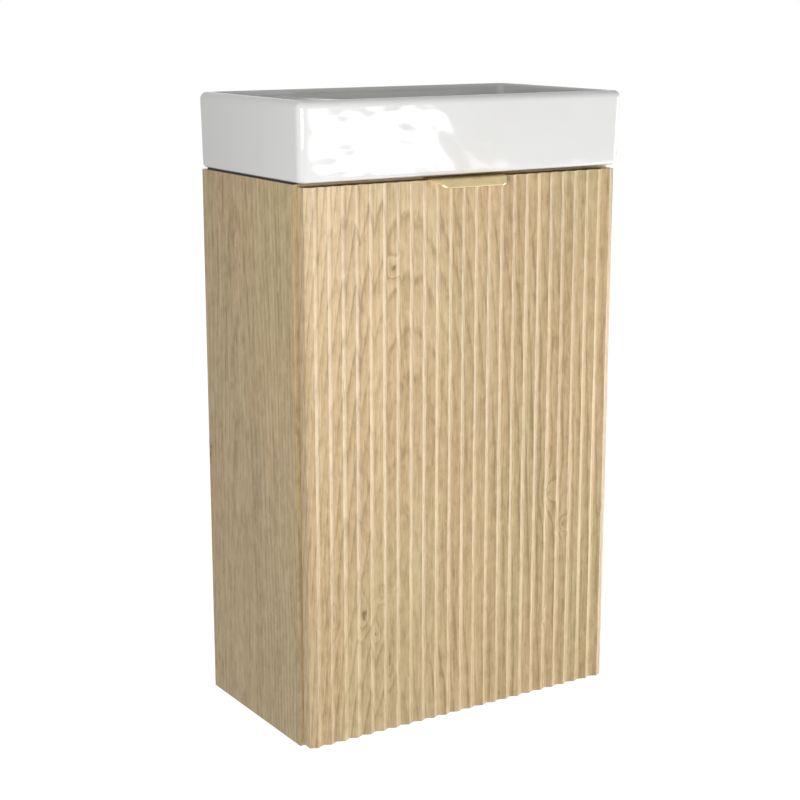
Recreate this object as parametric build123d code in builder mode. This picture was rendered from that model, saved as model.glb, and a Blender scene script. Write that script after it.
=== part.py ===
from build123d import *
import os
from math import radians, sin, tan

# Wall-hung cloakroom vanity unit with a rectangular ceramic basin and one fluted door.
# X runs to the right, Y runs back to the wall, Z runs up. The origin is under the middle
# of the whole unit, level with the underside of the carcass.

# Carcass
carcass_width = 400.0
carcass_depth = 202.0
carcass_height = 600.0
board = 16.0
board_edge_round = 0.5
rail_wall_space = 18.0
front_rail_depth = 60.0
top_rail_height = 90.0
lower_rail_height = 80.0

# Door
door_side_reveal = 3.0
door_bottom_reveal = 2.5
door_top_reveal = 2.0
door_gap = 3.0
door_core = 13.0
door_back_round = 0.8
flute_depth = 4.0
flute_count = 24
flute_crest_radius = 1.2
flute_valley_radius = 1.0

# Handle
handle_thickness = 1.6
handle_back_width = 96.0
handle_front_width = 76.0
handle_reach = 15.0
handle_slope = 31.0
handle_bend_radius = 2.0
handle_corner_radius = 5.0
handle_back_corner_radius = 3.0
handle_screw_spacing = 60.0
handle_screw_length = 14.0
handle_screw_head_radius = 3.2

# Basin
basin_bond_height = 2.0
basin_width = 408.0
basin_depth = 224.0
basin_height = 81.0
basin_draft = 2.0
basin_corner_radius = 9.0
basin_rim = 12.0
basin_rim_outer_round = 8.0
basin_rim_inner_round = 3.0
basin_foot_round = 4.0
basin_inner_corner_radius = 9.0
basin_deck_drop = 6.0
basin_deck_length = 102.0
basin_deck_thickness = 12.0
basin_floor = 15.0
bowl_draft = 6.0
bowl_corner_radius = 16.0
bowl_floor_round = 12.0
tap_hole_radius = 17.5
waste_hole_radius = 23.0
waste_seat_radius = 33.0
waste_seat_depth = 3.0
bond_width = 6.0
bond_inset = 4.5

# Shelf
shelf_side_clearance = 1.0
shelf_front_setback = 22.0
shelf_back_setback = 8.0
shelf_level = 292.0
shelf_cutout_width = 120.0
shelf_cutout_depth = 62.0
shelf_cutout_radius = 18.0
shelf_pin_radius = 2.5
shelf_pin_reach = 8.0
shelf_pin_depth = 9.0
shelf_pin_edge = 34.0

# Carcass joints
fit_clearance = 0.05
dowel_radius = 4.0
dowel_length = 30.0
dowel_in_side = 10.0
dowel_hole_spare = 1.0
bottom_dowel_from_front = 28.0
bottom_dowel_from_back = 52.0
bottom_cam_from_front = 92.0
front_rail_dowel_from_front = 12.0
front_rail_cam_from_front = 42.0
back_rail_dowel_from_edge = 14.0
back_rail_cam_from_edge = 22.0
cam_radius = 7.5
cam_height = 12.5
cam_from_end = 34.0
cam_slot_width = 2.0
cam_slot_depth = 2.0
cam_bolt_radius = 2.5
cam_bolt_in_side = 11.0
cam_bolt_channel_clearance = 0.3
cam_bolt_head_radius = 3.2
cam_bolt_head_length = 3.0
cam_pocket_radius = 3.6

# Wall fixing
wall_bolt_radius = 4.0
wall_bolt_spacing = 220.0
wall_bolt_from_top = 45.0
wall_bolt_from_base = 56.0
hanger_width = 30.0
hanger_height = 52.0
hanger_thickness = 2.0
hanger_slot = 6.5
hanger_hook_drop = 15.0
hanger_from_side = 22.0
hanger_from_top = 12.0
hanger_screw_from_bottom = 8.0
hanger_screw_spacing = 20.0
hanger_screw_length = 12.0

# Hinges
hinge_from_end = 92.0
cup_radius = 17.5
cup_edge_distance = 3.0
cup_depth = 12.0
cup_bore_clearance = 0.1
cup_floor = 0.7
cup_flange = 1.2
cup_flange_height = 58.0
cup_flange_width = 24.0
cup_flange_shift = 6.0
cup_screw_spacing = 45.0
cup_screw_shift = 9.5
cup_screw_length = 10.0
cup_pocket_half_height = 5.0
cup_pocket_spare = 1.0
hinge_pin_edge_distance = 7.0
hinge_pin_depth = 9.0
hinge_pin_radius = 1.25
hinge_pin_running_clearance = 0.05
hinge_pin_length = 15.0
hinge_eye_radius = 2.0
hinge_eye_clearance = 0.4
hinge_foot_thickness = 2.4
hinge_neck_width = 5.4
hinge_neck_offset = 10.6
hinge_arm_half_height = 4.5
hinge_arm_thickness = 8.0
hinge_arm_length = 52.0
hinge_arm_setback = 2.0
hinge_arm_bevel = 2.0
plate_thickness = 4.0
plate_height = 46.0
plate_width = 24.0
plate_setback = 37.0
plate_screw_spacing = 32.0
plate_screw_length = 12.0
arm_screw_length = 9.0
arm_screw_from_back = 9.0

# Screws and buffers
screw_radius = 1.75
screw_head_radius = 3.5
screw_head_height = 1.8
screw_hole_clearance = 0.05
screw_recess_length = 3.4
screw_recess_width = 0.9
screw_recess_depth = 0.9
bumper_radius = 4.0
bumper_clearance = 0.4
bumper_from_edge = 7.0
bumper_from_end = 40.0

# Places worked out from the sizes above
overall_depth = carcass_depth + door_gap + door_core + flute_depth + handle_reach
wall_y = overall_depth / 2
front_y = wall_y - carcass_depth
inner_x = carcass_width / 2 - board
door_left = -carcass_width / 2 + door_side_reveal
door_right = carcass_width / 2 - door_side_reveal
door_back_y = front_y - door_gap
door_valley_y = door_back_y - door_core
door_crest_y = door_valley_y - flute_depth
door_base = door_bottom_reveal
door_top = carcass_height - door_top_reveal
rail_back_y = wall_y - rail_wall_space
rail_front_y = rail_back_y - board
basin_base = carcass_height + basin_bond_height
basin_top = basin_base + basin_height
hinge_levels = [door_base + hinge_from_end, door_top - hinge_from_end]
hinge_names = ["lower", "upper"]
hinge_pin_x = door_right - hinge_pin_edge_distance
hinge_pin_y = door_back_y - hinge_pin_depth
cup_x = door_right - cup_edge_distance - cup_radius
plate_face_x = inner_x - plate_thickness
plate_y = front_y + plate_setback

os.makedirs("parts", exist_ok=True)


def save(piece, name):
    piece.part.label = name
    export_step(piece.part, f"parts/{name}.step")


def pair_around(middle, spacing):
    return [middle - spacing / 2, middle + spacing / 2]


def facing(x, y, z, direction):
    # A plane at a point, looking along one of the three main directions.
    across = (0, 1, 0) if abs(direction[0]) > 0 else (1, 0, 0)
    return Plane(origin=(x, y, z), x_dir=across, z_dir=direction)


def add_rod(place, radius, length, mode=Mode.ADD):
    with BuildSketch(place) as outline:
        Circle(radius)
    extrude(outline.sketch, amount=length, mode=mode)


def add_screw(place, length):
    # The screw lies along the plane's direction, its head's top face on the plane.
    add_rod(place, screw_head_radius, screw_head_height)
    add_rod(place, screw_radius, length)
    cut_cross(place, screw_recess_length, screw_recess_width, screw_recess_depth)


def cut_cross(place, length, width, depth):
    with BuildSketch(place) as cross:
        Rectangle(length, width)
        Rectangle(width, length)
    extrude(cross.sketch, amount=depth, mode=Mode.SUBTRACT)


# Carcass joints: each board between the sides has dowels and cams in its two ends.
# An entry is the y and z of the joint on the side's inner face.
board_middle_low = board / 2
board_middle_top = carcass_height - board / 2
rail_middle_y = (rail_back_y + rail_front_y) / 2
top_rail_base = carcass_height - top_rail_height
lower_rail_base = board
lower_rail_top = lower_rail_base + lower_rail_height
dowels_of = {
    "bottom_panel": [
        (front_y + bottom_dowel_from_front, board_middle_low),
        (wall_y - bottom_dowel_from_back, board_middle_low),
    ],
    "top_front_rail": [(front_y + front_rail_dowel_from_front, board_middle_top)],
    "top_back_rail": [(rail_middle_y, carcass_height - back_rail_dowel_from_edge)],
    "lower_back_rail": [(rail_middle_y, lower_rail_base + back_rail_dowel_from_edge)],
}
cams_of = {
    "bottom_panel": [(front_y + bottom_cam_from_front, board_middle_low)],
    "top_front_rail": [(front_y + front_rail_cam_from_front, board_middle_top)],
    "top_back_rail": [(rail_middle_y, top_rail_base + back_rail_cam_from_edge)],
    "lower_back_rail": [(rail_middle_y, lower_rail_top - back_rail_cam_from_edge)],
}
cam_face_of = {
    "bottom_panel": (0, 0, -1),
    "top_front_rail": (0, 0, -1),
    "top_back_rail": (0, 1, 0),
    "lower_back_rail": (0, 1, 0),
}
sides = [-1, 1]


def cam_place(board_name, side, y, z):
    # The plane of a cam's outer face, looking into the board.
    normal = cam_face_of[board_name]
    x = side * (inner_x - cam_from_end)
    return facing(x, y + normal[1] * board / 2, z + normal[2] * board / 2, [-n for n in normal])


def cut_end_joints(board_name):
    for side in sides:
        outward = (side, 0, 0)
        for y, z in dowels_of[board_name]:
            start = side * (inner_x - dowel_length + dowel_in_side - dowel_hole_spare)
            length = dowel_length - dowel_in_side + dowel_hole_spare
            add_rod(facing(start, y, z, outward), dowel_radius, length, Mode.SUBTRACT)
        for y, z in cams_of[board_name]:
            channel = cam_bolt_radius + cam_bolt_channel_clearance
            start = side * (inner_x - cam_from_end)
            add_rod(facing(start, y, z, outward), channel, cam_from_end, Mode.SUBTRACT)
            bore = cam_radius + fit_clearance
            add_rod(cam_place(board_name, side, y, z), bore, cam_height, Mode.SUBTRACT)


def box_between(x0, x1, y0, y1, z0, z1):
    with BuildSketch(Plane.XY.offset(z0)) as outline:
        with Locations(((x0 + x1) / 2, (y0 + y1) / 2)):
            Rectangle(x1 - x0, y1 - y0)
    extrude(outline.sketch, amount=z1 - z0)


# Side panels
shelf_pin_ys = [front_y + shelf_pin_edge, wall_y - shelf_pin_edge]
shelf_pin_z = shelf_level - shelf_pin_radius
arm_screw_y = front_y + hinge_arm_setback + hinge_arm_length - arm_screw_from_back


def side_panel(side):
    outer_x = side * carcass_width / 2
    with BuildPart() as panel:
        box_between(min(outer_x, side * inner_x), max(outer_x, side * inner_x),
                    front_y, wall_y, 0, carcass_height)
        fillet(panel.edges().filter_by(Axis.Z), board_edge_round)
        outward = (side, 0, 0)
        for board_name in dowels_of:
            for y, z in dowels_of[board_name]:
                depth = dowel_in_side + dowel_hole_spare
                add_rod(facing(side * inner_x, y, z, outward), dowel_radius, depth, Mode.SUBTRACT)
            for y, z in cams_of[board_name]:
                add_rod(facing(side * inner_x, y, z, outward), cam_bolt_radius + fit_clearance,
                        cam_bolt_in_side, Mode.SUBTRACT)
        for y in shelf_pin_ys:
            add_rod(facing(side * inner_x, y, shelf_pin_z, outward),
                    shelf_pin_radius + fit_clearance, shelf_pin_depth, Mode.SUBTRACT)
        if side > 0:
            for level in hinge_levels:
                for z in pair_around(level, plate_screw_spacing):
                    add_rod(facing(inner_x, plate_y, z, outward),
                            screw_radius + screw_hole_clearance,
                            plate_screw_length - plate_thickness, Mode.SUBTRACT)
                add_rod(facing(inner_x, arm_screw_y, level, outward),
                        screw_radius + screw_hole_clearance, arm_screw_length, Mode.SUBTRACT)
    return panel


save(side_panel(-1), "side_panel_left")
save(side_panel(1), "side_panel_right")

# Boards between the sides
with BuildPart() as bottom_panel:
    box_between(-inner_x, inner_x, front_y, wall_y, 0, board)
    cut_end_joints("bottom_panel")
save(bottom_panel, "bottom_panel")

with BuildPart() as top_front_rail:
    box_between(-inner_x, inner_x, front_y, front_y + front_rail_depth,
                carcass_height - board, carcass_height)
    cut_end_joints("top_front_rail")
save(top_front_rail, "top_front_rail")

hanger_xs = [side * (inner_x - hanger_from_side - hanger_width / 2) for side in sides]
hanger_top = carcass_height - hanger_from_top
hanger_screw_low = hanger_top - hanger_height + hanger_screw_from_bottom
hanger_screw_zs = [hanger_screw_low, hanger_screw_low + hanger_screw_spacing]
hanger_face_y = rail_back_y + hanger_thickness

with BuildPart() as top_back_rail:
    box_between(-inner_x, inner_x, rail_front_y, rail_back_y, top_rail_base, carcass_height)
    cut_end_joints("top_back_rail")
    for x in pair_around(0, wall_bolt_spacing):
        add_rod(facing(x, rail_front_y, carcass_height - wall_bolt_from_top, (0, 1, 0)),
                wall_bolt_radius, board, Mode.SUBTRACT)
    for x in hanger_xs:
        for z in hanger_screw_zs:
            add_rod(facing(x, rail_back_y, z, (0, -1, 0)), screw_radius + screw_hole_clearance,
                    hanger_screw_length - hanger_thickness, Mode.SUBTRACT)
save(top_back_rail, "top_back_rail")

with BuildPart() as lower_back_rail:
    box_between(-inner_x, inner_x, rail_front_y, rail_back_y,
                lower_rail_base, lower_rail_top)
    cut_end_joints("lower_back_rail")
    for x in pair_around(0, wall_bolt_spacing):
        add_rod(facing(x, rail_front_y, wall_bolt_from_base, (0, 1, 0)),
                wall_bolt_radius, board, Mode.SUBTRACT)
save(lower_back_rail, "lower_back_rail")

# Dowels and cam fittings
with BuildPart() as dowels:
    for board_name in dowels_of:
        for side in sides:
            for y, z in dowels_of[board_name]:
                start = side * (inner_x - dowel_length + dowel_in_side)
                add_rod(facing(start, y, z, (side, 0, 0)), dowel_radius - fit_clearance, dowel_length)
save(dowels, "dowels")

with BuildPart() as cam_housings:
    for board_name in cams_of:
        for side in sides:
            for y, z in cams_of[board_name]:
                place = cam_place(board_name, side, y, z)
                add_rod(place, cam_radius, cam_height)
                cut_cross(place, cam_radius, cam_slot_width, cam_slot_depth)
                add_rod(facing(side * (inner_x - cam_from_end), y, z, (side, 0, 0)),
                        cam_pocket_radius, cam_radius, Mode.SUBTRACT)
save(cam_housings, "cam_housings")

with BuildPart() as cam_bolts:
    for board_name in cams_of:
        for side in sides:
            for y, z in cams_of[board_name]:
                start = side * (inner_x - cam_from_end + fit_clearance)
                length = cam_from_end + cam_bolt_in_side - fit_clearance
                add_rod(facing(start, y, z, (side, 0, 0)), cam_bolt_radius, length)
                add_rod(facing(start, y, z, (side, 0, 0)), cam_bolt_head_radius, cam_bolt_head_length)
save(cam_bolts, "cam_bolts")

# Shelf on four pins, cut out at the back for the waste pipe
shelf_half = inner_x - shelf_side_clearance
with BuildPart() as shelf:
    box_between(-shelf_half, shelf_half, front_y + shelf_front_setback,
                wall_y - shelf_back_setback, shelf_level, shelf_level + board)
    with BuildSketch(Plane.XY.offset(shelf_level)) as cutout:
        with Locations((0, wall_y - shelf_back_setback)):
            Rectangle(shelf_cutout_width, 2 * shelf_cutout_depth)
        fillet(cutout.vertices().group_by(Axis.Y)[0], shelf_cutout_radius)
    extrude(amount=board, mode=Mode.SUBTRACT)
save(shelf, "shelf")

with BuildPart() as shelf_pins:
    for side in sides:
        for y in shelf_pin_ys:
            place = facing(side * (inner_x - shelf_pin_reach), y, shelf_pin_z, (side, 0, 0))
            add_rod(place, shelf_pin_radius, shelf_pin_reach + shelf_pin_depth)
save(shelf_pins, "shelf_pins")

# Wall hangers: a pressed steel hook on the back of the top rail, each side
hook_reach = 2 * hanger_thickness + hanger_slot
for name, x in zip(["left", "right"], hanger_xs):
    with BuildPart() as wall_hanger:
        with BuildSketch(Plane.YZ.offset(x - hanger_width / 2)):
            with BuildLine():
                Polyline(
                    (rail_back_y, hanger_top - hanger_height),
                    (hanger_face_y, hanger_top - hanger_height),
                    (hanger_face_y, hanger_top - hanger_thickness),
                    (rail_back_y + hook_reach - hanger_thickness, hanger_top - hanger_thickness),
                    (rail_back_y + hook_reach - hanger_thickness, hanger_top - hanger_hook_drop),
                    (rail_back_y + hook_reach, hanger_top - hanger_hook_drop),
                    (rail_back_y + hook_reach, hanger_top),
                    (rail_back_y, hanger_top),
                    close=True,
                )
            make_face()
        extrude(amount=hanger_width)
        for z in hanger_screw_zs:
            add_rod(facing(x, hanger_face_y, z, (0, -1, 0)), screw_radius + screw_hole_clearance,
                    hanger_thickness, Mode.SUBTRACT)
    save(wall_hanger, f"wall_hanger_{name}")

with BuildPart() as hanger_screws:
    for x in hanger_xs:
        for z in hanger_screw_zs:
            place = facing(x, hanger_face_y + screw_head_height, z, (0, -1, 0))
            add_screw(place, hanger_screw_length + screw_head_height)
save(hanger_screws, "hanger_screws")

# Basin: drafted outer body, shallow tap deck on the left, bowl on the right,
# open underneath the tap deck so that a tap can be fastened.
basin_middle_y = wall_y - basin_depth / 2
basin_half = basin_width / 2
deck_level = basin_top - basin_deck_drop
bowl_left = -basin_half + basin_rim + basin_deck_length
bowl_right = basin_half - basin_rim
bowl_middle_x = (bowl_left + bowl_right) / 2
bowl_width = bowl_right - bowl_left
bowl_depth = basin_depth - 2 * basin_rim
bowl_floor_level = basin_base + basin_floor
tap_x = -basin_half + basin_rim + basin_deck_length / 2

with BuildPart() as basin:
    with BuildSketch(Plane.XY.offset(basin_base)):
        with Locations((0, basin_middle_y + basin_draft / 2)):
            RectangleRounded(basin_width - 2 * basin_draft, basin_depth - basin_draft,
                             basin_corner_radius)
    with BuildSketch(Plane.XY.offset(basin_top)):
        with Locations((0, basin_middle_y)):
            RectangleRounded(basin_width, basin_depth, basin_corner_radius)
    loft(ruled=True)
    fillet(basin.edges().group_by(Axis.Z)[-1], basin_rim_outer_round)
    fillet(basin.edges().group_by(Axis.Z)[0], basin_foot_round)
    with BuildSketch(Plane.XY.offset(deck_level)):
        with Locations((0, basin_middle_y)):
            RectangleRounded(basin_width - 2 * basin_rim, bowl_depth, basin_inner_corner_radius)
    extrude(amount=basin_deck_drop, mode=Mode.SUBTRACT)
    fillet(basin.edges(Select.LAST).group_by(Axis.Z)[-1], basin_rim_inner_round)
    with BuildSketch(Plane.XY.offset(bowl_floor_level)):
        with Locations((bowl_middle_x, basin_middle_y)):
            RectangleRounded(bowl_width - 2 * bowl_draft, bowl_depth - 2 * bowl_draft,
                             bowl_corner_radius)
    with BuildSketch(Plane.XY.offset(deck_level)):
        with Locations((bowl_middle_x, basin_middle_y)):
            RectangleRounded(bowl_width, bowl_depth, basin_inner_corner_radius)
    loft(ruled=True, mode=Mode.SUBTRACT)
    fillet(basin.edges(Select.LAST).group_by(Axis.Z)[0], bowl_floor_round)
    pocket_left = -basin_half + basin_draft + basin_rim
    pocket_right = bowl_left - basin_rim + bowl_draft
    pocket_depth = basin_depth - basin_draft - 2 * basin_rim
    with BuildSketch(Plane.XY.offset(basin_base)):
        with Locations(((pocket_left + pocket_right) / 2, basin_middle_y + basin_draft / 2)):
            RectangleRounded(pocket_right - pocket_left - bowl_draft, pocket_depth,
                             basin_inner_corner_radius)
    extrude(amount=deck_level - basin_deck_thickness - basin_base, mode=Mode.SUBTRACT)
    add_rod(facing(tap_x, basin_middle_y, deck_level, (0, 0, -1)), tap_hole_radius,
            basin_deck_thickness, Mode.SUBTRACT)
    add_rod(facing(bowl_middle_x, basin_middle_y, bowl_floor_level, (0, 0, -1)),
            waste_hole_radius, basin_floor, Mode.SUBTRACT)
    add_rod(facing(bowl_middle_x, basin_middle_y, bowl_floor_level, (0, 0, -1)),
            waste_seat_radius, waste_seat_depth, Mode.SUBTRACT)
save(basin, "basin")

# Beads that bond the basin to the side panels and the two top rails
with BuildPart() as basin_bond_strips:
    bead_x = basin_half - basin_draft - bond_inset - bond_width / 2
    for side in sides:
        box_between(side * bead_x - bond_width / 2, side * bead_x + bond_width / 2,
                    front_y + bond_inset, wall_y - bond_inset - basin_foot_round,
                    carcass_height, basin_base)
    for y in [front_y + bond_inset, rail_middle_y]:
        box_between(bowl_left, inner_x - bond_width, y, y + bond_width, carcass_height, basin_base)
save(basin_bond_strips, "basin_bond_strips")

# Fluted door
door_width = door_right - door_left
door_height = door_top - door_base
flute_pitch = door_width / flute_count
handle_screw_xs = pair_around(0, handle_screw_spacing)
handle_screw_y = door_back_y - door_core / 2
cup_screw_x = cup_x - cup_screw_shift

with BuildPart() as door_panel:
    with BuildSketch(Plane.XY.offset(door_base)) as door_plan:
        with BuildLine():
            front = [(door_left, door_valley_y)]
            for flute in range(flute_count):
                start = door_left + flute * flute_pitch
                front.append((start + flute_pitch / 2, door_crest_y))
                front.append((start + flute_pitch, door_valley_y))
            Polyline(front)
            Polyline((door_right, door_valley_y), (door_right, door_back_y),
                     (door_left, door_back_y), (door_left, door_valley_y))
        make_face()
        fillet(door_plan.vertices().group_by(Axis.Y)[1], flute_valley_radius)
        fillet(door_plan.vertices().group_by(Axis.Y)[0], flute_crest_radius)
        fillet(door_plan.vertices().group_by(Axis.Y)[-1], door_back_round)
    extrude(amount=door_height)
    for level in hinge_levels:
        add_rod(facing(cup_x, door_back_y, level, (0, -1, 0)), cup_radius, cup_depth, Mode.SUBTRACT)
        for z in pair_around(level, cup_screw_spacing):
            add_rod(facing(cup_screw_x, door_back_y, z, (0, -1, 0)),
                    screw_radius + screw_hole_clearance, cup_screw_length - cup_flange,
                    Mode.SUBTRACT)
    for x in handle_screw_xs:
        add_rod(facing(x, handle_screw_y, door_top, (0, 0, -1)), screw_radius + screw_hole_clearance,
                handle_screw_length, Mode.SUBTRACT)
save(door_panel, "door_panel")

# Handle: a plate on the door's top edge that bends down in front of the door
handle_top = door_top + handle_thickness
slope = radians(handle_slope)
bend_y = door_crest_y - handle_bend_radius * tan(slope / 2)
tip_y = door_crest_y - handle_reach
underside_tip_y = tip_y + handle_thickness * sin(slope)
underside_tip_z = door_top - (bend_y - underside_tip_y) * tan(slope)
with BuildPart() as handle_pull:
    with BuildSketch(Plane.YZ.offset(-handle_back_width / 2)):
        with BuildLine():
            FilletPolyline((underside_tip_y, underside_tip_z), (bend_y, door_top),
                           (door_back_y, door_top), radius=handle_bend_radius)
            offset(amount=handle_thickness, side=Side.LEFT)
        make_face()
    extrude(amount=handle_back_width)
    with BuildSketch(Plane.XY.offset(handle_top)) as handle_plan:
        with BuildLine():
            Polyline(
                (-handle_back_width / 2, door_back_y),
                (handle_back_width / 2, door_back_y),
                (handle_back_width / 2, door_crest_y),
                (handle_front_width / 2, tip_y),
                (-handle_front_width / 2, tip_y),
                (-handle_back_width / 2, door_crest_y),
                close=True,
            )
        make_face()
        fillet(handle_plan.vertices().group_by(Axis.Y)[1], handle_back_corner_radius)
        fillet(handle_plan.vertices().group_by(Axis.Y)[0], handle_corner_radius)
    extrude(amount=2 * (underside_tip_z - handle_top), mode=Mode.INTERSECT)
    for x in handle_screw_xs:
        with Locations(facing(x, handle_screw_y, handle_top, (0, 0, 1))):
            CounterSinkHole(screw_radius + screw_hole_clearance,
                            handle_screw_head_radius + screw_hole_clearance,
                            handle_thickness, counter_sink_angle=90)
save(handle_pull, "handle_pull")

with BuildPart() as handle_screws:
    for x in handle_screw_xs:
        place = facing(x, handle_screw_y, handle_top, (0, 0, -1))
        with BuildSketch(place):
            Circle(handle_screw_head_radius)
        extrude(amount=handle_screw_head_radius - screw_radius, taper=45)
        add_rod(place, screw_radius, handle_thickness + handle_screw_length)
        cut_cross(place, screw_recess_length, screw_recess_width, screw_recess_depth)
save(handle_screws, "handle_screws")

# Soft buffers on the back of the door, on its opening side
with BuildPart() as door_bumpers:
    for z in [door_base + bumper_from_end, door_top - bumper_from_end]:
        place = facing(door_left + bumper_from_edge, door_back_y, z, (0, 1, 0))
        add_rod(place, bumper_radius, door_gap - bumper_clearance)
    outer_rings = door_bumpers.edges().group_by(Axis.Y)[-1]
    fillet(outer_rings, (door_gap - bumper_clearance) / 2)
save(door_bumpers, "door_bumpers")

# Hinges: a cup let into the door turns on a pin in the eye of a cranked arm
eye_reach = hinge_eye_radius + hinge_eye_clearance
pocket_right_x = hinge_pin_x + eye_reach
neck_right_x = hinge_pin_x - hinge_neck_offset
neck_left_x = neck_right_x - hinge_neck_width
pocket_left_x = neck_left_x - cup_pocket_spare
flange_x = cup_x - cup_flange_shift
arm_front_y = front_y + hinge_arm_setback
arm_back_y = arm_front_y + hinge_arm_length

for name, level in zip(hinge_names, hinge_levels):
    with BuildPart() as hinge_cup:
        add_rod(facing(cup_x, door_back_y, level, (0, -1, 0)), cup_radius - cup_bore_clearance,
                cup_depth - cup_bore_clearance)
        with BuildSketch(facing(flange_x, door_back_y, level, (0, 1, 0))):
            RectangleRounded(cup_flange_width, cup_flange_height, cup_flange_width / 3)
        extrude(amount=cup_flange)
        with BuildSketch(facing((pocket_left_x + pocket_right_x) / 2, door_back_y + cup_flange,
                                level, (0, -1, 0))):
            Rectangle(pocket_right_x - pocket_left_x, 2 * cup_pocket_half_height)
        extrude(amount=cup_depth + cup_flange - cup_floor, mode=Mode.SUBTRACT)
        add_rod(facing(hinge_pin_x, hinge_pin_y, level - hinge_pin_length / 2, (0, 0, 1)),
                hinge_pin_radius, hinge_pin_length, Mode.SUBTRACT)
        for z in pair_around(level, cup_screw_spacing):
            add_rod(facing(cup_screw_x, door_back_y + cup_flange, z, (0, -1, 0)),
                    screw_radius + screw_hole_clearance, cup_flange, Mode.SUBTRACT)
    save(hinge_cup, f"{name}_hinge_cup")

    with BuildPart() as hinge_pin:
        add_rod(facing(hinge_pin_x, hinge_pin_y, level - hinge_pin_length / 2, (0, 0, 1)),
                hinge_pin_radius, hinge_pin_length)
    save(hinge_pin, f"{name}_hinge_pin")

    with BuildPart() as hinge_arm:
        with BuildSketch(Plane.XY.offset(level - hinge_arm_half_height)):
            with BuildLine():
                foot_front = hinge_pin_y - hinge_foot_thickness / 2
                foot_back = hinge_pin_y + hinge_foot_thickness / 2
                Polyline(
                    (hinge_pin_x, foot_front),
                    (hinge_pin_x, foot_back),
                    (neck_right_x, foot_back),
                    (neck_right_x, arm_front_y),
                    (plate_face_x, arm_front_y),
                    (plate_face_x, arm_back_y),
                    (plate_face_x - hinge_arm_thickness, arm_back_y),
                    (plate_face_x - hinge_arm_thickness, arm_front_y),
                    (neck_left_x, arm_front_y - hinge_arm_bevel),
                    (neck_left_x, foot_front),
                    close=True,
                )
            make_face()
            with Locations((hinge_pin_x, hinge_pin_y)):
                Circle(hinge_eye_radius)
                Circle(hinge_pin_radius + hinge_pin_running_clearance, mode=Mode.SUBTRACT)
        extrude(amount=2 * hinge_arm_half_height)
        add_rod(facing(plate_face_x - hinge_arm_thickness, arm_screw_y, level, (1, 0, 0)),
                screw_radius + screw_hole_clearance, hinge_arm_thickness, Mode.SUBTRACT)
    save(hinge_arm, f"{name}_hinge_arm")

    with BuildPart() as hinge_plate:
        with BuildSketch(facing(plate_face_x, plate_y, level, (1, 0, 0))):
            RectangleRounded(plate_width, plate_height, plate_width / 3)
        extrude(amount=plate_thickness)
        screw_places = [(plate_y, z) for z in pair_around(level, plate_screw_spacing)]
        for y, z in screw_places + [(arm_screw_y, level)]:
            add_rod(facing(plate_face_x, y, z, (1, 0, 0)), screw_radius + screw_hole_clearance,
                    plate_thickness, Mode.SUBTRACT)
    save(hinge_plate, f"{name}_hinge_plate")

with BuildPart() as hinge_cup_screws:
    for level in hinge_levels:
        for z in pair_around(level, cup_screw_spacing):
            place = facing(cup_screw_x, door_back_y + cup_flange + screw_head_height, z, (0, -1, 0))
            add_screw(place, cup_screw_length + screw_head_height)
save(hinge_cup_screws, "hinge_cup_screws")

with BuildPart() as hinge_plate_screws:
    for level in hinge_levels:
        for z in pair_around(level, plate_screw_spacing):
            place = facing(plate_face_x - screw_head_height, plate_y, z, (1, 0, 0))
            add_screw(place, plate_screw_length + screw_head_height)
save(hinge_plate_screws, "hinge_plate_screws")

with BuildPart() as hinge_arm_screws:
    for level in hinge_levels:
        head_x = plate_face_x - hinge_arm_thickness - screw_head_height
        add_screw(facing(head_x, arm_screw_y, level, (1, 0, 0)), inner_x - head_x + arm_screw_length)
save(hinge_arm_screws, "hinge_arm_screws")
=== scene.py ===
import math

import bpy
import bmesh
import numpy as np
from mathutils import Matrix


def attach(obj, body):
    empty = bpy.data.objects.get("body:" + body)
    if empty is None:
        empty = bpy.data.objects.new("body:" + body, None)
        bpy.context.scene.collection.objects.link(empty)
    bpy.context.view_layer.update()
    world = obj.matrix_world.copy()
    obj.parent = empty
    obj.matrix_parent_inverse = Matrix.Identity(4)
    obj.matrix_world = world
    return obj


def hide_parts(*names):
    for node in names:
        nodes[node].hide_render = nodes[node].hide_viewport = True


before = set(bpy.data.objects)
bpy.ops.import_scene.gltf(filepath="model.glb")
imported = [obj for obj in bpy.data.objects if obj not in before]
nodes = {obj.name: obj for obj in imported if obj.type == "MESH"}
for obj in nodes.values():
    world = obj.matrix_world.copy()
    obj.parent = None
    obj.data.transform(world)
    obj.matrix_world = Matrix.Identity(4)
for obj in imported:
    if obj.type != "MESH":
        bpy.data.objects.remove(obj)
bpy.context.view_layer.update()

print("frame loaded:", len(nodes), "nodes")


# node helpers

def add(tree, kind, sockets=None, **settings):
    node = tree.nodes.new(kind)
    for name, value in settings.items():
        setattr(node, name, value)
    for socket, value in (sockets or {}).items():
        if isinstance(value, bpy.types.NodeSocket):
            tree.links.new(value, node.inputs[socket])
        else:
            node.inputs[socket].default_value = value
    return node


def calc(tree, operation, first, second=0.0, third=0.0, clamp=False):
    node = add(tree, "ShaderNodeMath", {0: first, 1: second, 2: third},
               operation=operation, use_clamp=clamp)
    return node.outputs[0]


def joined(tree, x, y, z):
    return add(tree, "ShaderNodeCombineXYZ", {0: x, 1: y, 2: z}).outputs[0]


def noise(tree, vector, scale=1.0, detail=2.0, roughness=0.5, distortion=0.0):
    node = add(tree, "ShaderNodeTexNoise",
               {"Vector": vector, "Scale": scale, "Detail": detail,
                "Roughness": roughness, "Distortion": distortion})
    return node.outputs["Fac"]


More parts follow.
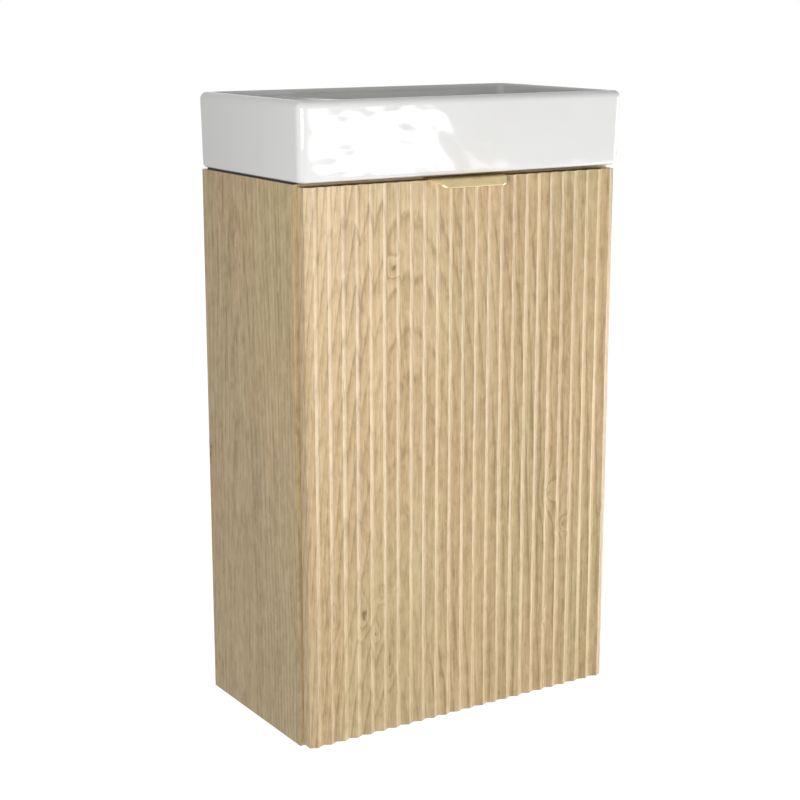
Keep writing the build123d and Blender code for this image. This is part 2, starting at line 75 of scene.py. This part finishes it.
def between(tree, value, low, high, toLow=0.0, toHigh=1.0):
    # a soft step of value from low to high
    node = add(tree, "ShaderNodeMapRange",
               {"Value": value, "From Min": low, "From Max": high,
                "To Min": toLow, "To Max": toHigh},
               interpolation_type="SMOOTHSTEP")
    return node.outputs[0]


def ramp(tree, value, stops):
    node = add(tree, "ShaderNodeValToRGB", {"Fac": value})
    elements = node.color_ramp.elements
    while len(elements) < len(stops):
        elements.new(1.0)
    for element, (place, colour) in zip(elements, stops):
        element.position = place
        element.color = (*colour, 1.0)
    return node.outputs[0]


def mixed(tree, factor, first, second, blend="MIX"):
    def rgba(colour):
        return colour if isinstance(colour, bpy.types.NodeSocket) else (*colour, 1.0)
    node = add(tree, "ShaderNodeMix", {0: factor, 6: rgba(first), 7: rgba(second)},
               data_type="RGBA", blend_type=blend)
    return node.outputs[2]


def newMaterial(name, **uniform):
    # a material with one surface shader; uniform values sit on the shader itself
    material = bpy.data.materials.new(name)
    material.use_nodes = True
    tree = material.node_tree
    tree.nodes.clear()
    shader = add(tree, "ShaderNodeBsdfPrincipled")
    for socket, value in uniform.items():
        shader.inputs[socket.replace("_", " ")].default_value = value
    output = add(tree, "ShaderNodeOutputMaterial")
    tree.links.new(shader.outputs[0], output.inputs["Surface"])
    return material, tree, shader


def finishSurface(tree, shader, colour, roughness, height=None, strength=0.2, distance=0.0003):
    tree.links.new(colour, shader.inputs["Base Color"])
    tree.links.new(roughness, shader.inputs["Roughness"])
    if height is not None:
        bump = add(tree, "ShaderNodeBump",
                   {"Height": height, "Strength": strength, "Distance": distance})
        tree.links.new(bump.outputs[0], shader.inputs["Normal"])


def place(tree):
    return add(tree, "ShaderNodeTexCoord").outputs["Object"]


def dress(material, *names):
    for name in names:
        for slot in nodes[name].material_slots:
            slot.material = material


# oak decor: growth rings cut lengthwise, fibres, pores, ray flecks, knots, and cut ends darkened partly as
# end grain and partly as painted shade

oakLook = {
    "dark": (0.400, 0.283, 0.150),
    "middle": (0.575, 0.430, 0.240),
    "light": (0.690, 0.540, 0.330),
    "pinkish": (1.020, 0.990, 0.965),
    "greenish": (0.985, 1.005, 0.970),
    "pore": (0.27, 0.175, 0.09),
    "knot": (0.115, 0.062, 0.028),
    # end-grain colour, also used as painted shade on the top and bottom faces
    "endGrainAndShade": (0.115, 0.075, 0.040),
    "ringAmount": 1.25,
    "fibreAmount": 1.15,
    "fineAmount": 0.85,
    "streakAmount": 0.65,
    "fleckAmount": 1.45,
    "bandAmount": 0.80,
    "broadAmount": 0.35,
    "poreAmount": 0.55,
    "slowWander": 0.030,     # m, how far the fibres drift sideways
    "quickWander": 0.0028,   # m
    "knotPush": 1.7,         # rings that bend round a knot
    "roughness": 0.34,
    "bump": 0.08,
    "bumpDepth": 0.0004,     # m
}
# light and dark over one growth ring, from the early wood to the late wood
ringShades = [(0.0, 0.30), (0.10, 0.72), (0.45, 0.62), (0.80, 0.45), (0.93, 0.16), (1.0, 0.30)]
# each layer of the grain: turns per metre across the board, turns per metre along it, start
grainLayers = {
    "slow": (7.0, 2.2, 3.1),
    "quick": (45.0, 11.0, 7.7),
    "ragged": (420.0, 170.0, 6.6),
    "fading": (10.0, 3.0, 21.0),
    "fibre": (400.0, 8.0, 1.3),
    "streak": (150.0, 3.2, 23.7),
    "fine": (1500.0, 42.0, 5.9),
    "fleck": (150.0, 62.0, 9.4),
    "broad": (9.0, 2.4, 13.3),
    "band": (60.0, 1.6, 17.1),
    "tint": (14.0, 3.2, 31.0),
    "dash": (1150.0, 30.0, 41.0),
}


def knotFields(tree, knots, bent, along, ragged):
    # how far each knot pushes the rings aside, and how dark its core is
    push = None
    core = None
    for knotAcross, knotAlong, width, length, darkness in knots:
        sideways = calc(tree, "DIVIDE", calc(tree, "SUBTRACT", bent, knotAcross), width)
        lengthways = calc(tree, "DIVIDE", calc(tree, "SUBTRACT", along, knotAlong), length)
        square = calc(tree, "MULTIPLY_ADD", sideways, sideways,
                      calc(tree, "MULTIPLY", lengthways, lengthways))
        bulge = calc(tree, "EXPONENT", calc(tree, "MULTIPLY", square, -0.16))
        shape = calc(tree, "ADD", square, calc(tree, "MULTIPLY_ADD", ragged, 3.0, -1.2))
        spot = calc(tree, "MULTIPLY", between(tree, shape, 1.2, 0.0), darkness)
        push = bulge if push is None else calc(tree, "ADD", push, bulge)
        core = spot if core is None else calc(tree, "MAXIMUM", core, spot)
    return push, core


def oakMaterial(name, axes, pith, ring, knots=(), start=0.0, shine=0.2, change=None):
    # axes: across the board, along it, into it; pith: place across, depth under the face,
    # drift per metre; ring: spacing; a knot: across, along, width, length, how dark
    look = dict(oakLook, **(change or {}))
    material, tree, shader = newMaterial(name, IOR=1.50, Specular_IOR_Level=shine)
    parted = add(tree, "ShaderNodeSeparateXYZ", {0: place(tree)})
    across, along, into = (parted.outputs[axis] for axis in axes)

    def layer(layerName, side=across, **settings):
        acrossTurns, alongTurns, shift = grainLayers[layerName]
        where = joined(tree, calc(tree, "MULTIPLY_ADD", side, acrossTurns, start + shift),
                       calc(tree, "MULTIPLY_ADD", into, acrossTurns, shift),
                       calc(tree, "MULTIPLY_ADD", along, alongTurns, start * 1.7 + shift))
        return noise(tree, where, **settings)

    # the fibres wander slowly, and bend round each knot
    slow = layer("slow")
    quick = layer("quick")
    wander = calc(tree, "MULTIPLY_ADD", slow, look["slowWander"],
                  calc(tree, "MULTIPLY_ADD", quick, look["quickWander"],
                       -0.5 * (look["slowWander"] + look["quickWander"])))
    bent = calc(tree, "ADD", across, wander)
    push, core = knotFields(tree, knots, bent, along, layer("ragged"))

    # rings: distance from the pith, which drifts along the board
    pithAcross, pithDepth, drift = pith
    fromPith = calc(tree, "SUBTRACT", bent, pithAcross)
    below = calc(tree, "ADD", calc(tree, "MULTIPLY_ADD", along, drift, pithDepth), into)
    radius = calc(tree, "SQRT", calc(tree, "MULTIPLY_ADD", fromPith, fromPith,
                                     calc(tree, "MULTIPLY", below, below)))
    phase = calc(tree, "DIVIDE", radius, ring)
    if push is not None:
        phase = calc(tree, "MULTIPLY_ADD", push, look["knotPush"], phase)
    saw = calc(tree, "FRACT", calc(tree, "MULTIPLY_ADD", quick, 0.5, phase))
    rings = ramp(tree, saw, [(spot, (shade,) * 3) for spot, shade in ringShades])
    fading = between(tree, layer("fading", detail=1.0), 0.34, 0.62, 0.35, 1.0)

    fibre = layer("fibre", bent, detail=3.0, roughness=0.62)
    fine = layer("fine", bent)
    layers = {
        "fibreAmount": fibre,
        "fineAmount": fine,
        "streakAmount": layer("streak", bent, roughness=0.6),
        "fleckAmount": layer("fleck", detail=4.0, roughness=0.6, distortion=0.4),
        "bandAmount": layer("band", bent),
        "broadAmount": layer("broad"),
    }
    tone = calc(tree, "MULTIPLY", calc(tree, "SUBTRACT", rings, 0.5),
                calc(tree, "MULTIPLY", fading, look["ringAmount"]))
    for amount, shade in layers.items():
        tone = calc(tree, "MULTIPLY_ADD", calc(tree, "SUBTRACT", shade, 0.5), look[amount], tone)
    tone = calc(tree, "ADD", tone, 0.5, clamp=True)
    colour = ramp(tree, tone, [(0.0, look["dark"]), (0.5, look["middle"]), (1.0, look["light"])])
    tint = mixed(tree, between(tree, layer("tint", detail=1.0), 0.35, 0.65),
                 look["greenish"], look["pinkish"])
    colour = mixed(tree, 1.0, colour, tint, "MULTIPLY")

    # pores are short dark dashes, closest together in the early wood
    openWood = between(tree, saw, 0.75, 0.15, 0.25, 1.0)
    pore = calc(tree, "MULTIPLY", between(tree, layer("dash", bent, detail=1.0), 0.60, 0.72), openWood)
    colour = mixed(tree, calc(tree, "MULTIPLY", pore, look["poreAmount"]), colour, look["pore"])
    if core is not None:
        grainy = calc(tree, "MULTIPLY", core, between(tree, fibre, 0.30, 0.60, 0.62, 1.0))
        colour = mixed(tree, grainy, colour, look["knot"])

    # cut ends are darker than the faces: partly end grain, partly painted shade, as the darkened top faces
    # of the door and side panels stand in for the shadow in the gap under the basin
    # painted shade: end faces darkened by their direction
    facing = add(tree, "ShaderNodeSeparateXYZ", {0: add(tree, "ShaderNodeTexCoord").outputs["Normal"]})
    endFaceShade = between(tree, calc(tree, "ABSOLUTE", facing.outputs[axes[1]]), 0.75, 0.95, 0.0, 0.85)
    colour = mixed(tree, endFaceShade, colour, look["endGrainAndShade"])

    height = calc(tree, "MULTIPLY_ADD", pore, -0.8, calc(tree, "MULTIPLY_ADD", fine, 0.5, fibre))
    roughness = calc(tree, "MULTIPLY_ADD", pore, 0.16,
                     calc(tree, "MULTIPLY_ADD", fibre, 0.10, look["roughness"] - 0.05))
    finishSurface(tree, shader, colour, roughness, height, look["bump"], look["bumpDepth"])
    return material


sideKnots = [
    (0.121, 0.281, 0.008, 0.020, 0.85),
    (0.041, 0.520, 0.0030, 0.006, 0.45),
    (0.037, 0.503, 0.0026, 0.005, 0.40),
    (0.036, 0.466, 0.0014, 0.012, 0.50),
    (0.033, 0.070, 0.0016, 0.014, 0.45),
]
doorKnots = [
    (-0.094, 0.510, 0.0030, 0.005, 0.60),
    (-0.130, 0.140, 0.0034, 0.008, 0.75),
    (-0.108, 0.162, 0.0018, 0.004, 0.75),
    (-0.115, 0.114, 0.0018, 0.004, 0.65),
    (-0.098, 0.083, 0.0012, 0.010, 0.55),
    (-0.165, 0.142, 0.0026, 0.008, 0.40),
    (0.119, 0.238, 0.0045, 0.009, 0.50),
    (0.139, 0.198, 0.0022, 0.004, 0.55),
    (0.114, 0.092, 0.0020, 0.005, 0.50),
]
boards = {
    "side_panel_left": {"name": "oakSideLeft", "axes": "YZX", "pith": (0.045, 0.235, 0.055),
                        "ring": 0.0062, "knots": sideKnots, "change": {"ringAmount": 0.85}},
    "side_panel_right": {"name": "oakSideRight", "axes": "YZX", "pith": (-0.010, -0.165, -0.050),
                         "ring": 0.0066, "knots": [(0.070, 0.170, 0.0035, 0.008, 0.6)], "start": 5.0},
    "door_panel": {"name": "oakDoor", "axes": "XZY", "pith": (-0.115, 0.140, 0.110),
                   "ring": 0.0064, "knots": doorKnots, "start": 11.0, "shine": 0.5},
    "bottom_panel": {"name": "oakBottom", "axes": "YXZ", "pith": (0.03, 0.050, 0.045),
                     "ring": 0.0062, "start": 19.0},
    "shelf": {"name": "oakShelf", "axes": "YXZ", "pith": (0.00, -0.240, 0.050),
              "ring": 0.0060, "knots": [(0.010, -0.090, 0.003, 0.007, 0.5)], "start": 27.0},
    "top_front_rail": {"name": "oakTopFrontRail", "axes": "YXZ", "pith": (-0.05, -0.640, 0.040),
                       "ring": 0.0058, "start": 35.0},
    "top_back_rail": {"name": "oakTopBackRail", "axes": "ZXY", "pith": (0.555, -0.020, 0.040),
                      "ring": 0.0060, "start": 43.0},
    "lower_back_rail": {"name": "oakLowerBackRail", "axes": "ZXY", "pith": (0.050, -0.015, -0.040),
                        "ring": 0.0060, "start": 51.0},
    "dowels": {"name": "beechDowel", "axes": "YXZ", "pith": (0.3, 0.4, 0.05), "ring": 0.0021, "start": 77.0,
               "change": {"dark": (0.46, 0.30, 0.17), "middle": (0.60, 0.41, 0.25),
                          "light": (0.70, 0.52, 0.34), "poreAmount": 0.25, "fleckAmount": 0.6}},
}
for boardName, board in boards.items():
    dress(oakMaterial(**board), boardName)
print("boards and dowels dressed")


# metals and plastics of the fittings

def metalMaterial(name, colour, roughness, brush, marks, bump):
    # brush: turns of the marks per metre along X, Y and Z
    material, tree, shader = newMaterial(name, Metallic=1.0)
    where = place(tree)
    streaks = add(tree, "ShaderNodeVectorMath", {0: where, 1: brush}, operation="MULTIPLY").outputs[0]
    brushed = noise(tree, streaks, detail=3.0)
    smudge = noise(tree, where, 38.0, detail=3.0)
    shade = mixed(tree, between(tree, smudge, 0.3, 0.7), tuple(c * 0.90 for c in colour), colour)
    shade = mixed(tree, calc(tree, "MULTIPLY", between(tree, brushed, 0.55, 0.8), marks * 3),
                  shade, tuple(c * 0.62 for c in colour))
    worn = calc(tree, "MULTIPLY_ADD", brushed, marks * 1.6,
                calc(tree, "MULTIPLY_ADD", smudge, marks, roughness - marks))
    finishSurface(tree, shader, shade, worn, brushed, bump, 0.0002)
    return material


metals = {
    "hingeChrome": {"colour": (0.80, 0.80, 0.79), "roughness": 0.17, "brush": (240.0, 240.0, 240.0),
                    "marks": 0.05, "bump": 0.02},
    "screwSteel": {"colour": (0.66, 0.65, 0.62), "roughness": 0.30, "brush": (900.0, 900.0, 900.0),
                   "marks": 0.08, "bump": 0.10},
    "hangerZinc": {"colour": (0.60, 0.61, 0.61), "roughness": 0.42, "brush": (300.0, 300.0, 60.0),
                   "marks": 0.12, "bump": 0.12},
    "camZinc": {"colour": (0.52, 0.52, 0.50), "roughness": 0.48, "brush": (500.0, 500.0, 500.0),
                "marks": 0.15, "bump": 0.25},
    "brassScrew": {"colour": (0.70, 0.57, 0.33), "roughness": 0.30, "brush": (700.0, 700.0, 700.0),
                   "marks": 0.08, "bump": 0.08},
}
metalNodes = {
    "hingeChrome": ("lower_hinge_cup", "upper_hinge_cup", "lower_hinge_arm", "upper_hinge_arm",
                    "lower_hinge_plate", "upper_hinge_plate"),
    "screwSteel": ("lower_hinge_pin", "upper_hinge_pin", "hinge_cup_screws", "hinge_plate_screws",
                   "hinge_arm_screws", "hanger_screws", "shelf_pins", "cam_bolts"),
    "hangerZinc": ("wall_hanger_left", "wall_hanger_right"),
    "camZinc": ("cam_housings",),
    "brassScrew": ("handle_screws",),
}
for metalName, metal in metals.items():
    dress(metalMaterial(metalName, **metal), *metalNodes[metalName])


def plainMaterial(name, light, dark, roughness, turns, bump, **uniform):
    material, tree, shader = newMaterial(name, **uniform)
    where = place(tree)
    cloud = noise(tree, where, turns, detail=4.0, roughness=0.6)
    grain = noise(tree, where, turns * 9.0)
    colour = mixed(tree, between(tree, cloud, 0.3, 0.7), dark, light)
    worn = calc(tree, "MULTIPLY_ADD", cloud, 0.16,
                calc(tree, "MULTIPLY_ADD", grain, 0.08, roughness - 0.12))
    finishSurface(tree, shader, colour, worn, grain, bump, 0.0002)
    return material


# painted shade: the sealing bead is made near black so that the gap under the basin reads as deep shadow
beadShadeLook = {"light": (0.030, 0.027, 0.024), "dark": (0.014, 0.013, 0.012), "roughness": 0.55,
            "turns": 120.0, "bump": 0.15}
bufferLook = {"light": (0.74, 0.76, 0.75), "dark": (0.62, 0.65, 0.65), "roughness": 0.30,
              "turns": 260.0, "bump": 0.05}
dress(plainMaterial("sealingBeadShade", **beadShadeLook), "basin_bond_strips")
dress(plainMaterial("clearBuffer", **bufferLook, Transmission_Weight=0.55, IOR=1.45), "door_bumpers")
print("fittings dressed")


# shapes cut from distance fields: a coarse copy of the CAD piece is drawn onto
# the exact rounded surface, so that every edge is soft and the faces are even

def roundBoth(a, b, radius):
    # inside both fields, the edge between them rounded
    outer = np.hypot(np.maximum(a + radius, 0), np.maximum(b + radius, 0))
    return np.minimum(np.maximum(a, b), -radius) + outer


def roundEither(a, b, radius):
    # inside either field, the corner between them rounded
    return -roundBoth(-a, -b, radius)


def roundedPlate(x, y, halfX, halfY, radius):
    # distance from a rectangle with round corners
    qx = np.abs(x) - (halfX - radius)
    qy = np.abs(y) - (halfY - radius)
    return np.hypot(np.maximum(qx, 0), np.maximum(qy, 0)) + np.minimum(np.maximum(qx, qy), 0) - radius


def slopeOf(field, points, step=0.02):
    slope = np.empty_like(points)
    for axis in range(3):
        shift = np.zeros(3)
        shift[axis] = step
        slope[:, axis] = (field(points + shift) - field(points - shift)) / (2 * step)
    return slope


def ontoField(field, points, rounds, reach):
    # points and reach in millimetres
    for _ in range(rounds):
        slope = slopeOf(field, points)
        size = np.maximum((slope ** 2).sum(1), 0.25)
        move = -(field(points) / size)[:, None] * slope
        length = np.linalg.norm(move, axis=1)
        points = points + move * np.minimum(1.0, reach / np.maximum(length, 1e-9))[:, None]
    return points


def evened(mesh, points, share, field):
    # slides each vertex toward the middle of its neighbours, along the surface
    edges = np.empty(len(mesh.edges) * 2, np.int32)
    mesh.edges.foreach_get("vertices", edges)
    edges = edges.reshape(-1, 2)
    total = np.zeros_like(points)
    count = np.zeros(len(points))
    for this, other in ((0, 1), (1, 0)):
        np.add.at(total, edges[:, this], points[edges[:, other]])
        np.add.at(count, edges[:, this], 1)
    pull = total / np.maximum(count, 1)[:, None] - points
    normal = slopeOf(field, points)
    normal /= np.maximum(np.linalg.norm(normal, axis=1), 1e-9)[:, None]
    pull -= (pull * normal).sum(1)[:, None] * normal
    return points + share * pull


def shapeFromField(name, cadNode, field, voxel, material, body):
    mesh = nodes[cadNode].data.copy()
    piece = bpy.data.objects.new(name, mesh)
    bpy.context.scene.collection.objects.link(piece)
    remesh = piece.modifiers.new("even", "REMESH")
    remesh.mode = "VOXEL"
    remesh.voxel_size = voxel / 1000
    remesh.adaptivity = 0.0
    bpy.context.view_layer.update()
    shown = piece.evaluated_get(bpy.context.evaluated_depsgraph_get())
    even = bpy.data.meshes.new_from_object(shown)
    piece.modifiers.clear()
    piece.data = even
    even.name = name
    points = np.empty(len(even.vertices) * 3)
    even.vertices.foreach_get("co", points)
    points = points.reshape(-1, 3) * 1000
    points = ontoField(field, points, 5, voxel)
    for _ in range(6):
        points = evened(even, points, 0.55, field)
        points = ontoField(field, points, 2, voxel)
    points = ontoField(field, points, 4, voxel)
    print(name, "lies on its field to", round(float(np.abs(field(points)).max()), 3), "mm,",
          len(even.polygons), "faces")
    normals = slopeOf(field, points)
    normals /= np.maximum(np.linalg.norm(normals, axis=1), 1e-9)[:, None]
    even.vertices.foreach_set("co", (points / 1000).ravel())
    even.materials.clear()
    even.materials.append(material)
    even.polygons.foreach_set("use_smooth", [True] * len(even.polygons))
    even.update()
    even.normals_split_custom_set_from_vertices([tuple(v) for v in normals])
    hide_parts(cadNode)
    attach(piece, body)


# ceramic basin

basinLook = {
    "glaze": (0.80, 0.80, 0.79),
    "glazeWarm": (0.785, 0.78, 0.765),
    "roughness": 0.045,
    "ripple": 0.0004,        # m, how deep the shading sees the glaze waver
    "rippleTurns": (13.0, 13.0, 36.0),
    "peelTurns": 230.0,
    "peelShare": 0.012,
    "speckTurns": 900.0,
    "speck": (0.55, 0.52, 0.47),
    "waveHeight": 0.10,      # mm, the slow unevenness of the fired glaze
    "voxel": 2.0,            # mm
}
basinSize = {
    "halfWidth": 204.0, "front": -105.5, "back": 118.5, "base": 602.0, "top": 683.0,
    "draft": 2.0, "cornerRadius": 9.0,
    "rimOuterRound": 8.0, "rimInnerRound": 3.0, "footRound": 4.0,
    "rim": 12.0, "deck": 677.0, "deckEnd": -90.0, "floor": 617.0, "bowlDraft": 6.0,
    "lipRound": 5.0, "floorRound": 12.0, "innerCornerRadius": 9.0, "bowlCornerRadius": 16.0,
    "tapX": -141.0, "tapRadius": 17.5, "wasteX": 51.0, "wasteRadius": 23.0,
    "seatRadius": 33.0, "seatDepth": 3.0, "pocketLeft": -187.0, "pocketRight": -99.0,
    "pocketHalf": 99.0, "pocketMiddle": 7.5, "pocketTop": 665.0,
}  # mm


def basinField(points):
    size = basinSize
    x, y, z = points.T
    middle = (size["front"] + size["back"]) / 2
    lean = size["draft"] * np.clip((size["top"] - z) / (size["top"] - size["base"]), 0, 1)
    front = size["front"] + lean
    outside = roundedPlate(x, y - (front + size["back"]) / 2, size["halfWidth"] - lean,
                           (size["back"] - front) / 2, size["cornerRadius"])
    body = roundBoth(outside, z - size["top"], size["rimOuterRound"])
    body = roundBoth(body, size["base"] - z, size["footRound"])

    # bowl and tap deck, as one hollow
    down = np.clip((size["deck"] - z) / (size["deck"] - size["floor"]), 0, 1)
    draft = size["bowlDraft"] * down
    widening = size["bowlCornerRadius"] - size["innerCornerRadius"]
    cornerRadius = size["innerCornerRadius"] + widening * down
    halfX = size["halfWidth"] - size["rim"]
    halfY = (size["back"] - size["front"]) / 2 - size["rim"]
    walls = roundedPlate(x, y - middle, halfX - draft, halfY - draft, cornerRadius)
    hollow = roundEither(size["deck"] - z, size["deckEnd"] + draft - x, size["lipRound"])
    fold = np.clip(3.0 + 0.6 * (size["deck"] - z), 3.0, 13.0)
    hollow = roundBoth(hollow, walls, fold)
    hollow = roundBoth(hollow, size["floor"] - z, size["floorRound"])
    body = roundBoth(body, -hollow, size["rimInnerRound"])

    # room under the deck, tap hole, waste hole with its seat
    pocket = roundedPlate(x - (size["pocketLeft"] + size["pocketRight"]) / 2, y - size["pocketMiddle"],
                          (size["pocketRight"] - size["pocketLeft"]) / 2, size["pocketHalf"],
                          size["innerCornerRadius"])
    pocket = roundBoth(pocket, z - size["pocketTop"], 6.0)
    body = roundBoth(body, -pocket, 1.6)
    tap = np.hypot(x - size["tapX"], y - middle) - size["tapRadius"]
    body = roundBoth(body, -tap, 2.0)
    wasteDistance = np.hypot(x - size["wasteX"], y - middle)
    body = roundBoth(body, size["wasteRadius"] - wasteDistance, 1.2)
    seat = roundBoth(wasteDistance - size["seatRadius"], size["floor"] - size["seatDepth"] - z, 0.8)
    body = roundBoth(body, -seat, 1.0)

    # slow waves of the glaze, always inward
    wave = (np.sin(x / 11.0 + 0.9 * np.sin(z / 17.0)) * np.sin(z / 8.5 + 1.3 * np.sin(x / 29.0) + 0.6)
            + 0.7 * np.sin(x / 5.3 + z / 6.1 + 2.0 * np.sin(y / 21.0))
            + 0.8 * np.sin(y / 13.0 + 1.1 * np.sin(z / 12.0)))
    return body + basinLook["waveHeight"] * (1.0 + 0.4 * wave)


def basinMaterial():
    look = basinLook
    material, tree, shader = newMaterial("whiteCeramic", IOR=1.52)
    where = place(tree)
    cloud = noise(tree, where, 9.0, detail=3.0)
    speck = noise(tree, where, look["speckTurns"], detail=1.0)
    colour = mixed(tree, between(tree, cloud, 0.35, 0.65), look["glazeWarm"], look["glaze"])
    colour = mixed(tree, calc(tree, "MULTIPLY", between(tree, speck, 0.76, 0.84), 0.25),
                   colour, look["speck"])
    peel = noise(tree, where, look["peelTurns"])
    drawn = add(tree, "ShaderNodeVectorMath", {0: where, 1: look["rippleTurns"]},
                operation="MULTIPLY").outputs[0]
    ripple = noise(tree, drawn, detail=1.0, distortion=0.6)
    roughness = calc(tree, "MULTIPLY_ADD", cloud, 0.05, look["roughness"] - 0.025)
    height = calc(tree, "MULTIPLY_ADD", peel, look["peelShare"], ripple)
    finishSurface(tree, shader, colour, roughness, height, 1.0, look["ripple"])
    return material


shapeFromField("ceramic_basin", "basin", basinField, basinLook["voxel"], basinMaterial(),
               "carcass")
print("basin made")


# brass handle: a bent plate with round edges and two countersunk holes

handleLook = {
    "colour": (0.74, 0.60, 0.33),
    "roughness": 0.26,
    "brush": (14.0, 900.0, 900.0),
    "marks": 0.07,
    "bump": 0.06,
}
handleSize = {
    "top": 599.6, "thickness": 1.6, "back": -86.5, "bend": -103.5, "tip": -118.5,
    "slope": math.radians(31.0), "bendRadius": 2.0, "backHalf": 48.0, "frontHalf": 38.0,
    "backCorner": 3.0, "frontCorner": 5.0, "rearCorner": 1.0, "edgeRound": 0.62,
    "holeX": 30.0, "holeY": -93.0, "holeRadius": 1.8, "headRadius": 3.25, "voxel": 0.5,
}  # mm, but for the slope


def handleField(points):
    size = handleSize
    x, y, z = points.T
    # the top face: flat, then falling forward, the bend rounded
    flat = z - size["top"]
    bendY = size["bend"] - size["bendRadius"] * math.tan(size["slope"] / 2)
    topBendY = bendY - size["thickness"] * math.tan(size["slope"] / 2)
    sloped = (z - size["top"]) * math.cos(size["slope"]) - (y - topBendY) * math.sin(size["slope"])
    top = roundBoth(flat, sloped, size["bendRadius"] + size["thickness"])
    body = np.maximum(top, -(top + size["thickness"]))
    # the outline seen from above
    across = np.abs(x)
    frontLine = size["tip"] - y
    backLine = y - size["back"]
    run = size["bend"] - size["tip"]
    narrowing = size["backHalf"] - size["frontHalf"]
    length = math.hypot(run, narrowing)
    oblique = ((across - size["backHalf"]) * run + (size["bend"] - y) * narrowing) / length
    outline = roundBoth(oblique, frontLine, size["frontCorner"])
    outline = roundBoth(outline, across - size["backHalf"], size["backCorner"])
    outline = roundBoth(outline, backLine, size["rearCorner"])
    body = roundBoth(body, outline, size["edgeRound"])
    hole = np.hypot(across - size["holeX"], y - size["holeY"])
    body = np.maximum(body, size["holeRadius"] - hole)
    cone = (hole - size["headRadius"] - (z - size["top"])) / math.sqrt(2)
    return np.maximum(body, -cone)


shapeFromField("brass_handle", "handle_pull", handleField, handleSize["voxel"],
               metalMaterial("satinBrass", **handleLook), "door")
print("handle made")


# floor, well below the hung unit

floorLook = {
    "level": -0.30,
    "halfSize": 14.0,
    "light": (0.46, 0.46, 0.455),
    "dark": (0.44, 0.44, 0.435),
    "lift": 0.88,            # what the camera and mirrors see of it beside the lamps' light
    "facets": 40,
    "roughness": 0.75,
    "shine": 0.1,
}


def seenDirectly(tree):
    # 1 where the camera, a mirror or glass looks, 0 for the light that falls on things
    path = add(tree, "ShaderNodeLightPath").outputs
    mirrored = calc(tree, "MAXIMUM", path["Is Glossy Ray"], path["Is Transmission Ray"])
    return calc(tree, "MAXIMUM", path["Is Camera Ray"], mirrored)


def makeFloor():
    look = floorLook
    work = bmesh.new()
    bmesh.ops.create_grid(work, x_segments=look["facets"], y_segments=look["facets"], size=look["halfSize"])
    for vertex in work.verts:
        vertex.co.z = look["level"]
    mesh = bpy.data.meshes.new("floor")
    work.to_mesh(mesh)
    work.free()
    floor = bpy.data.objects.new("floor", mesh)
    bpy.context.scene.collection.objects.link(floor)
    material, tree, shader = newMaterial("paleFloor", Specular_IOR_Level=look["shine"])
    cloud = noise(tree, place(tree), 3.0, detail=4.0)
    colour = mixed(tree, between(tree, cloud, 0.3, 0.7), look["dark"], look["light"])
    roughness = calc(tree, "MULTIPLY_ADD", cloud, 0.1, look["roughness"])
    finishSurface(tree, shader, colour, roughness)
    seen = seenDirectly(tree)
    glow = add(tree, "ShaderNodeEmission", {"Color": (1.0, 1.0, 1.0, 1.0),
                                            "Strength": calc(tree, "MULTIPLY", seen, look["lift"])})
    total = add(tree, "ShaderNodeAddShader", {0: shader.outputs[0], 1: glow.outputs[0]})
    output = next(node for node in tree.nodes if node.type == "OUTPUT_MATERIAL")
    tree.links.new(total.outputs[0], output.inputs["Surface"])
    mesh.materials.append(material)


makeFloor()


# studio light

# right and left light the unit, card and band show as soft bright shapes in the glaze
lightLook = {
    "ambient": 0.30,
    "right": {"at": (1.15, -0.62, 0.16), "toward": (0.0, -0.30, 0.16),
             "size": (0.80, 0.88), "power": 13.9},
    "left": {"at": (-0.85, -0.95, 0.62), "toward": (-0.05, -0.1, 0.45),
            "size": (0.6, 0.3), "power": 9.6},
    "card": {"at": (0.645, -1.33, 0.47), "toward": (-0.12, -0.1, 0.644),
            "size": (0.26, 0.10), "power": 0.40},
    "band": {"at": (1.00, -1.33, 0.345), "toward": (0.1, -0.1, 0.615),
            "size": (0.62, 0.13), "power": 0.70},
}


def softLamp(name, look):
    lamp = bpy.data.lights.new(name, "AREA")
    lamp.shape = "RECTANGLE"
    lamp.size, lamp.size_y = look["size"]
    lamp.energy = look["power"]
    lampObject = bpy.data.objects.new(name, lamp)
    bpy.context.scene.collection.objects.link(lampObject)
    lampObject.location = look["at"]
    aim = [t - a for a, t in zip(look["at"], look["toward"])]
    lampObject.rotation_euler = (math.atan2(math.hypot(aim[0], aim[1]), -aim[2]), 0,
                                 math.atan2(-aim[0], aim[1]))
    lampObject.visible_camera = False


for lampName in ("right", "left", "card", "band"):
    softLamp(lampName + "Light", lightLook[lampName])


def makeWorld():
    world = bpy.data.worlds.new("studio")
    bpy.context.scene.world = world
    world.use_nodes = True
    tree = world.node_tree
    tree.nodes.clear()
    seen = seenDirectly(tree)
    strength = calc(tree, "MULTIPLY_ADD", seen, 1.0 - lightLook["ambient"], lightLook["ambient"])
    back = add(tree, "ShaderNodeBackground", {"Color": (1.0, 1.0, 1.0, 1.0), "Strength": strength})
    output = add(tree, "ShaderNodeOutputWorld")
    tree.links.new(back.outputs[0], output.inputs["Surface"])


makeWorld()
print("studio lit")


# camera at the photograph's viewing angle

cameraLook = {
    "at": (-1.03192, -1.58404, 0.77695),
    "tilt": 76.971,
    "turn": -32.574,
    "lens": 77.41,
    "sensor": 36.0,
}
cameraData = bpy.data.cameras.new("camera")
cameraData.lens = cameraLook["lens"]
cameraData.sensor_width = cameraLook["sensor"]
camera = bpy.data.objects.new("camera", cameraData)
bpy.context.scene.collection.objects.link(camera)
camera.location = cameraLook["at"]
camera.rotation_euler = (math.radians(cameraLook["tilt"]), 0, math.radians(cameraLook["turn"]))
bpy.context.scene.camera = camera
bpy.context.scene.view_settings.view_transform = "Standard"
print("camera set")
